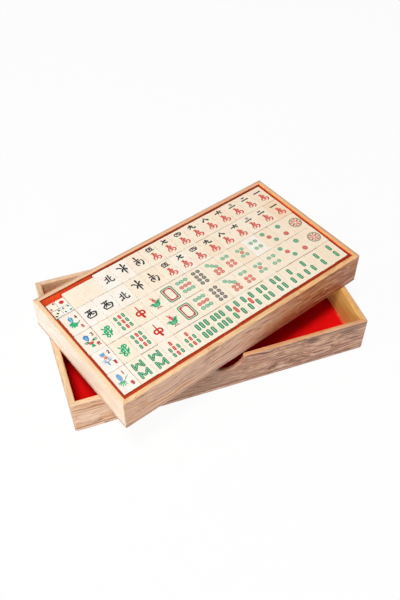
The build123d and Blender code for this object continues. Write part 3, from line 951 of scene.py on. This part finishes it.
def circle_or_honour(ink, row, column):
    aside, up = OFF_MIDDLE.get(column, ((0, 0),) * 2)[row - 2]
    ink.at = ink.at[0] + aside, ink.at[1] + up
    if column in HONOURS:
        HONOURS[column](ink)
    elif column + 1 in CIRCLES:
        radius, marks = CIRCLES[column + 1]
        for x, y, colour in marks:
            circle_mark(ink, colour, x + rng.uniform(-0.15, 0.15), y + rng.uniform(-0.15, 0.15), radius)


def sticks(ink, number):
    """The two to the eight of bamboos."""
    for x, y in STICKS.get(number, ()):
        colour, width = ("red", 3.7) if (x, y) == RED_STICK else ("green", 4.1)
        ink.rod(colour, x, y, width, 9.8)
    if number == 7:
        seven_sticks(ink)
    elif number == 8:
        eight_sticks(ink)


def paint_row(row, level):
    """Every mark on one row of tiles, from right to left."""
    ink = Ink(level + TILE_THICK)
    for column, centre in enumerate(tile_centres(row)):
        ink.at = centre
        if row < 2:
            number_or_wind(ink, row, column)
        elif row < 4:
            circle_or_honour(ink, row, column)
        else:
            sticks(ink, column // 2 + 2)
        if column == COLUMNS - 1:
            flower(ink, ROWS - row)
    return ink.shape


# how warm (up to 1) or white (down to -1) single tiles are, away from the drift to white at the left, which is
# painted light
TINTS = {(1, 0): 0.85, (0, 3): 0.2, (0, 4): 0.2, (2, 3): -0.9, (2, 4): 0.3, (2, 2): 0.1, (1, 5): 0.25,
         (1, 7): -0.5, (1, 9): 0.45, (1, 2): -0.3, (1, 11): -0.25, (1, 12): -0.45, (1, 13): -0.4,
         (2, 11): 0.45, (2, 9): -0.1, (3, 13): 0.3, (3, 14): -0.5, (4, 14): -0.3, (0, 10): -0.2,
         (0, 11): -0.3, (4, 4): -0.3, (4, 6): -0.3}
SPARE_TINTS = (-0.25, 0.05)
FIRST_TINT, PAINTED_LIGHT_STEP = 0.35, 0.065   # how warm the right end of a row is, and how much less so each next tile: a painted falloff of light that whitens the tiles towards the lit left


def lay_tiles(group, body, level, tiles, blanks):
    """The faces and backs of a group of tiles, each tile with its place, tint and seed."""
    for blank, half, part, material in zip(blanks, ("faces", "backs"), ("bone", "bamboo"),
                                           (tile_bone, tile_bamboo)):
        shape = Shape()
        for (x, y), tint, seed in tiles:
            for points, faces, edge in blank:
                shape.add(points, faces, 0, (x, y, level), tint, seed, edge)
        shape.piece(f"{group}_{half}", body, [material], TRAY, f"tile_{part}", [f"{group}_{part}"])


tile_halves = tile_blank(TILE_WIDTH, TILE_LENGTH, RIM_ROUND)
spare_halves = tile_blank(SPARE_WIDTH, SPARE_LENGTH, SPARE_RIM_ROUND, 0.1)
for layer, level in LEVELS.items():
    for row in range(ROWS):
        tiles = []
        for column, centre in enumerate(tile_centres(row)):
            # the tint drops by a step with each tile to the left: painted light, whiter where the light falls
            tint = FIRST_TINT - PAINTED_LIGHT_STEP * column + rng.uniform(-0.12, 0.12)
            tint += TINTS.get((row, column), 0.0) if layer == "upper" else rng.uniform(-0.3, 0.3)
            tiles.append((centre, tint, rng.uniform(0, 90)))
        body = f"{layer}_row_{row + 1}"
        lay_tiles(body, body, level, tiles, tile_halves)
        paint_row(row, level).piece(f"{body}_paint", body, list(INKS.values()), TRAY)
    tiles = [(centre, tint, rng.uniform(0, 90)) for centre, tint in zip(spare_centres(), SPARE_TINTS)]
    lay_tiles(f"{layer}_spare", f"{layer}_spares", level, tiles, spare_halves)

# --- dice
# which of nine places each number's pips take
PIPS = {1: (4,), 2: (0, 8), 3: (0, 4, 8), 4: (0, 2, 6, 8), 5: (0, 2, 4, 6, 8), 6: (0, 2, 3, 5, 6, 8)}
PIP_INKS = {1: "red", 2: "brown", 3: "dark_green", 4: "red", 5: "dark_green", 6: "dark_green"}
PIP_PITCH = 2.95
PIP, LARGE_PIP = (1.35, 0.55), (2.75, 0.7)     # radius and depth
DIE_GRID, DIE_ROUND = 44, 1.0
# the directions along, up and out of each side: top, bottom, right, left, back, front
DIE_AXES = (((1, 0, 0), (0, 1, 0), (0, 0, 1)), ((0, 1, 0), (1, 0, 0), (0, 0, -1)),
            ((0, 1, 0), (0, 0, 1), (1, 0, 0)), ((0, 0, 1), (0, 1, 0), (-1, 0, 0)),
            ((0, 0, 1), (1, 0, 0), (0, 1, 0)), ((1, 0, 0), (0, 0, 1), (0, -1, 0)))


def die_mesh(top, right, back):
    """A die with rounded edges and hollow painted pips; opposite faces add up to seven."""
    half = DIE / 2
    points, faces, slots, found = [], [], [], {}
    for number, axes in zip((top, 7 - top, right, 7 - right, back, 7 - back), DIE_AXES):
        along, up, out = (Vector(axis) for axis in axes)
        pips = [(PIP_PITCH * (k % 3 - 1), PIP_PITCH * (k // 3 - 1)) for k in PIPS[number]]
        radius, depth = LARGE_PIP if number == 1 else PIP

        def spot(i, j):
            """A place on the flat side, and how far the nearest pip is."""
            u, v = (2 * i / DIE_GRID - 1) * half, (2 * j / DIE_GRID - 1) * half
            return along * u + up * v + out * half, min(math.dist((u, v), pip) for pip in pips)

        index = {}
        for i in range(DIE_GRID + 1):
            for j in range(DIE_GRID + 1):
                flat, near = spot(i, j)
                core = Vector([max(DIE_ROUND - half, min(half - DIE_ROUND, c)) for c in flat])
                place = core + (flat - core).normalized() * DIE_ROUND
                if near < radius:
                    place -= out * depth * math.sqrt(1 - (near / radius) ** 2)
                label = tuple(round(c, 4) for c in place)
                if label not in found:
                    found[label] = len(points)
                    points.append((place.x, place.y, place.z + half))
                index[i, j] = found[label]
        ink = 1 + INK_SLOTS.index("teal" if number == top == 4 else PIP_INKS[number])
        for i in range(DIE_GRID):
            for j in range(DIE_GRID):
                faces.append((index[i, j], index[i + 1, j], index[i + 1, j + 1], index[i, j + 1]))
                slots.append(ink if spot(i + 0.5, j + 0.5)[1] < radius - LIP else 0)
    return points, faces, slots


places = [(DICE_CENTRE[0] + i * DIE_PITCH[0] / 2, DICE_CENTRE[1] + j * DIE_PITCH[1] / 2)
          for j in (1, -1) for i in (-1, 1)]
for number, (place, sides) in enumerate(zip(places, ((2, 1, 3), (1, 2, 3), (3, 1, 2), (4, 1, 2))), 1):
    points, faces, slots = die_mesh(*sides)
    shape = Shape()
    level = LEVELS["upper"] + TILE_THICK - DIE
    shape.add(points, faces, at=(*place, level), tint=-0.4, seed=rng.uniform(0, 90))
    shape.slots = slots
    shape.piece(f"die_{number}_carved", f"die_{number}", [die_bone, *INKS.values()], TRAY, "dice_bone",
                [f"die_{number}"], smooth=True)

# --- felt
CLOTH_COLUMNS, CLOTH_ROWS, CLOTH_SHRUNK = 150, 84, 0.9992
CURL_REACH, CURL_BACK = 5.0, -44.0     # how far from the end wall it starts, and where it dies out


def case_cloth():
    """The case's felt floor, its right edge turned up a little against the end wall, most at the front."""
    x_half, y_half = CASE_LENGTH / 2 - CASE_END, CASE_WIDTH / 2 - CASE_SIDE
    top, under, worn = [], [], []
    for i in range(CLOTH_COLUMNS + 1):
        x = -x_half + 2 * x_half * i / CLOTH_COLUMNS
        near_right = max(0.0, 1 - (x_half - x) / CURL_REACH)
        for j in range(CLOTH_ROWS + 1):
            y = -y_half + 2 * y_half * j / CLOTH_ROWS
            in_front = 1 / (1 + math.exp((y - CURL_BACK) / 5))
            ripple = math.sin(x * 0.071) * math.cos(y * 0.093) + 0.5 * math.sin(x * 0.19 + y * 0.13)
            curl = 0.5 + 3.0 * in_front + 0.5 * math.sin(0.9 * y)
            z = CASE_BASE + CASE_FELT - 0.12 + 0.10 * ripple + curl * near_right ** 2
            if not near_right:
                z -= 0.25 * max(0.0, 1 - min(x_half - abs(x), y_half - abs(y)) / 0.8)
            ragged = 0.6 + 0.4 * math.sin(2.3 * y) * math.sin(0.7 * y + 1)
            worn.append(ragged * near_right ** 8 * in_front)
            low = max(CASE_BASE, z - CASE_FELT) if near_right else CASE_BASE
            top.append((x * CLOTH_SHRUNK, y * CLOTH_SHRUNK, z))
            under.append((x * CLOTH_SHRUNK, y * CLOTH_SHRUNK, low))
    count, stride = len(top), CLOTH_ROWS + 1
    faces = []
    for a in (i * stride + j for i in range(CLOTH_COLUMNS) for j in range(CLOTH_ROWS)):
        b = a + stride
        faces += [(a, b, b + 1, a + 1), (count + a, count + a + 1, count + b + 1, count + b)]
    rim = [*range(0, count - stride, stride), *range(count - stride, count - 1),
           *range(count - 1, stride - 1, -stride), *range(CLOTH_ROWS, 0, -1)]
    faces += [(a, count + a, count + b, b) for a, b in zip(rim, rim[1:] + rim[:1])]
    shape = Shape()
    shape.add(top + under, faces)
    shape.values["tint"] = worn * 2
    return shape


def fuzz(shape, count, reach, width, start):
    """Loose fibres up to reach long, each a thin bent strip from a place that start() draws."""
    for _ in range(count):
        x, y, z = start()
        angle, lift = rng.uniform(0, math.tau), rng.uniform(0.05, 0.35)
        length, turn = rng.uniform(0.4, 1.0) * reach, rng.uniform(-0.9, 0.9)
        points = []
        for t in (0, 1 / 3, 2 / 3, 1):
            ca, sa = math.cos(angle + turn * t), math.sin(angle + turn * t)
            rise = lift * math.sin(math.pi * min(1.0, t * 0.9 + 0.1))
            points += [(x + length * t * ca - side * sa, y + length * t * sa + side * ca, z + rise)
                       for side in (width / 2, -width / 2)]
        shape.add(points, [(2 * k, 2 * k + 1, 2 * k + 3, 2 * k + 2) for k in range(3)])


cloth = case_cloth()
fuzz(cloth, 2600, reach=1.6, width=0.05,
     start=lambda: (rng.uniform(-160, 160), rng.uniform(-83, 83), CASE_BASE + CASE_FELT - 0.1))
cloth.piece("case_floor_cloth", "case", [case_felt], CASE, "red_felt", ["case_floor_felt"], smooth=True)

# each lining's waves' offset, how pale its side and its crest are against the painted shade, and how much paler
# its crest is painted at the left, where the light falls
LININGS = {"front": (0.3, 0.0, 0.16, 0.24), "back": (1.9, 0.05, 0.14, 0.0), "left": (3.1, 0.2, 0.40, 0.0),
           "right": (4.4, 0.2, 0.7, 0.0)}
SQUASHED = 0.12                        # a lining ends this far from the tiles
TILES_BACK = 46.0                      # behind it no tile stands against the left lining
SPARES_LEFT = SPARE_RIGHT - 2 * SPARE_WIDTH - 1


def lining(side):
    """A felt strip on one inner wall of the tray, its cut top edge a little uneven, squashed by the tiles.

    The strip's side is painted in shade and its crest painted lit, the front's crest more at the left. The nap
    of the front and left strips swells towards the tiles, and the painted shade is lighter between them. The
    back one swells where no tile stands against it, and there it is painted lighter.
    """
    x_half, y_half = TRAY_LENGTH / 2 - TRAY_WALL, TRAY_WIDTH / 2 - TRAY_WALL
    run = x_half if side in ("front", "back") else y_half - (TRAY_FELT + FRONT_FELT) / 2
    shift = (FRONT_FELT - TRAY_FELT) / 2
    last_tiles = [tile_centres(row)[-1] for row in range(1, ROWS)]
    front_tiles = tile_centres(ROWS - 1)
    joints = [x - (TILE_WIDTH + COLUMN_PITCH) / 4 for x, _ in front_tiles[:-1]] if side == "front" else []

    def room(s):
        """The width between the wall and the tiles."""
        if side == "front":
            return min(front_tiles, key=lambda tile: abs(tile[0] - s))[1] - TILE_LENGTH / 2 + y_half
        if side == "left" and shift - s < TILES_BACK:
            return min(last_tiles, key=lambda tile: abs(tile[1] - shift + s))[0] - TILE_WIDTH / 2 + x_half
        return TRAY_FELT + (0.9 if side == "left" else SQUASHED)

    offset, side_pale, crest_pale, drift = LININGS[side]
    sections = int(2.5 * run)
    loops, tints = [], []
    for k in range(sections + 1):
        s = -run + 2 * run * k / sections
        wave = 0.07 * math.sin(0.17 * s + 3 * offset) + 0.04 * math.sin(0.9 * s)
        top = FELT_TOP + 0.25 + 0.10 * math.sin(0.21 * s + offset) + 0.07 * math.sin(0.83 * s + 2 * offset)
        # between the front tiles the painted shade is lifted, a painted light
        between = max([0.0] + [1 - abs(s - joint) / 0.55 for joint in joints])
        thick = room(s) - SQUASHED - abs(wave)
        free = max(0.0, min(1.0, (SPARE_RIGHT + s) / 0.8 - 0.2)) if side == "back" else 0.0
        swell, paler = (2.6, 0.74) if -s > SPARES_LEFT else (5.2, 0.95)
        bulge = free * swell
        section = [(0, TRAY_FLOOR), (thick + bulge - 0.6, TRAY_FLOOR), (thick + bulge, top - 2 - 1.25 * bulge),
                   (thick + 0.2 * free, top - 0.8), (thick * 0.8, top - 0.5), (thick * 0.4, top), (0, top)]
        loops.append([{"front": (s, -y_half + depth, z), "back": (-s, y_half - depth, z),
                       "left": (-x_half + depth, shift - s, z), "right": (x_half - depth, shift + s, z)}[side]
                      for depth, z in section])
        # painted light and shade: a low tint lays the felt's shaded tone; the crest, the gaps between front
        # tiles and the free swell of the back strip are painted lighter
        face = max(side_pale, free * paler, 0.8 * between)
        crest = max((crest_pale + drift * (run - s) / (2 * run)) * (1 - 0.6 * free), 0.9 * between)
        tints += [face] * 4 + [0.3 * crest if side == "front" else crest, crest, crest]
    shape = Shape()
    shape.add(*skin(loops))
    shape.values["tint"] = tints

    def start():
        s, depth = rng.uniform(-run + 1, run - 1), rng.uniform(0.15, 0.75)
        x, y = {"front": (s, -y_half + depth), "back": (s, y_half - depth),
                "left": (-x_half + depth, s), "right": (x_half - depth, s)}[side]
        return x, y, FELT_TOP + 0.35
    fuzz(shape, int(run * 2.4), reach=0.35, width=0.04, start=start)
    shape.piece(f"tray_{side}_lining", "tray", [tray_felt], TRAY, "red_felt", [f"tray_{side}_felt"])


for side in LININGS:
    lining(side)


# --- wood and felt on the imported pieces
def dress(node, material):
    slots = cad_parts[node].data.materials
    slots.clear()
    slots.append(material)


def board(name, seed, face, patch, rim, **looks):
    dress(f"{name}_board", wood(f"{name}_wood", seed, face, patch, rim, across=name.endswith(("left", "right")),
                                tray=name.startswith("tray"), **looks))


# on the case's front the fade is partly painted falloff of the light; the last dark mark, wide and low under
# the tray's overhang, is a painted shadow, the other two are stains
board("case_front", 1.0, (255, 220, 190), (243, 192, 146), (244, 212, 172), streaks=0.9, contrast=1.3,
      fade=((214, 160, 132), -110, 40, (232, 174, 120)), lip=(40.0, 70.0), crowded=(-60.0, 80.0),
      stains=((103.0, -91.6, 43.0, 5.0, 0.7), (150.0, -91.6, 44.0, 8.0, 0.6), (-30.0, -91.6, 24.0, 30.0, 0.5)))
# its inside is painted paler than the rest, painted light lifting the shade of the tray over it
board("case_back", 2.3, (244, 196, 160), (232, 182, 146), (242, 208, 178), inner=(255, 224, 176))
board("case_left", 3.1, (250, 212, 178), (240, 196, 160), (234, 206, 166), contrast=1.2)
# its inside's strong orange is partly painted reflection of the red felt
board("case_right", 4.6, (228, 182, 150), (230, 176, 124), (236, 186, 112), inner=(255, 214, 112))
board("case_base", 5.2, (252, 210, 178), (240, 194, 154), None, streaks=0.9, contrast=1.3,
      fade=((206, 154, 126), -110, 40, None))
# its foot is a painted reflection of the orange wall and red felt below it; its fade is partly painted falloff
# of the light
board("tray_front", 6.4, (255, 210, 182), (254, 198, 154), (253, 216, 164), inner=(255, 206, 148), streaks=0.8,
      contrast=1.2, fade=((222, 136, 70), -20, 110, (255, 206, 144)), foot=((202, 82, 4), -40.0, 80.0),
      crowded=(0.0, 110.0))
# its dark inner tone is a painted shadow in the crease under the rim, above the lining
board("tray_back", 7.7, (232, 184, 150), (230, 172, 124), (253, 216, 178), inner=(176, 92, 52),
      fade=((232, 184, 150), -90, 0, (255, 199, 155)), brim=(216, 174, 144))
board("tray_left", 8.2, (254, 234, 210), (252, 224, 194), (255, 223, 182), streaks=0.3, contrast=0.5,
      fade=((255, 242, 226), -60, 40, (255, 221, 180)), brim=(250, 218, 182))
board("tray_right", 9.5, (220, 170, 136), (224, 162, 112), (255, 204, 140), brim=(214, 170, 132))
# its foot is a painted reflection of the orange wall and red felt; its fade is partly painted falloff of the
# light
board("tray_base", 10.1, (246, 200, 172), (240, 186, 150), None, fade=((206, 124, 66), -20, 110, None),
      foot=((202, 82, 4), -40.0, 80.0))
dress("dice_riser", wood("riser_wood", 11.3, (232, 190, 150), (222, 172, 126), None, tray=True))
dress("tray_floor_felt", tray_felt)

# --- floor, light and camera
ground = Finish("ground")
speck = ground.noise(ground.place(scale=40.0), (1, 1, 1), 3.0)
matt = ground.node("ShaderNodeBsdfDiffuse", {"Color": ground.ramp(speck, (0.3, (236,) * 3), (0.7, (242,) * 3))})
blend = ground.white_behind(matt, "ShaderNodeEmission", share=0.94)
ground.node("ShaderNodeOutputMaterial", {"Surface": blend})
plane = bpy.data.meshes.new("floor")
plane.from_pydata([(-4, -4, 0), (4, -4, 0), (4, 4, 0), (-4, 4, 0)], [], [(0, 1, 2, 3)])
plane.materials.append(ground.owner)
floor = to_scene("floor", plane)

scene = bpy.context.scene
scene.world = bpy.data.worlds.new("studio")
sky = Finish("studio", scene.world)
lit = sky.node("ShaderNodeBackground", {"Color": (1, 1, 1, 1), "Strength": 0.08})
sky.node("ShaderNodeOutputWorld", {"Surface": sky.white_behind(lit, "ShaderNodeBackground")})

AIM = Vector((0.0, 0.0, 0.05))
WARM, WHITE = (1.0, 0.99, 0.97), (1.0, 1.0, 1.0)
for name, place, power, colour in (
        ("left", (-1.84, 0.0, 1.59), 8.1, WARM), ("low", (-1.90, -1.33, 0.67), 14.3, WARM),
        ("fill", (-0.793, -2.178, 0.671), 5.7, WHITE), ("front", (-0.646, -0.923, 2.169), 8.6, WHITE),
        ("high", (-0.524, -0.524, 2.333), 35.8, WHITE)):
    light = bpy.data.lights.new(name, "AREA")
    light.shape, light.size, light.energy, light.color = "DISK", 0.6, power, colour
    made = to_scene(name, light)
    made.location = place
    made.rotation_euler = (AIM - Vector(place)).to_track_quat("-Z", "Y").to_euler()

scene.view_settings.view_transform = "Standard"
camera = bpy.data.cameras.new("camera")
camera.sensor_fit, camera.sensor_width, camera.lens = "AUTO", 36.0, 43.852
eye = to_scene("camera", camera)
eye.location = (-0.1837, -0.5240, 0.6765)
eye.rotation_euler = (math.radians(41.67), 0.0, math.radians(-19.6))
scene.camera = eye
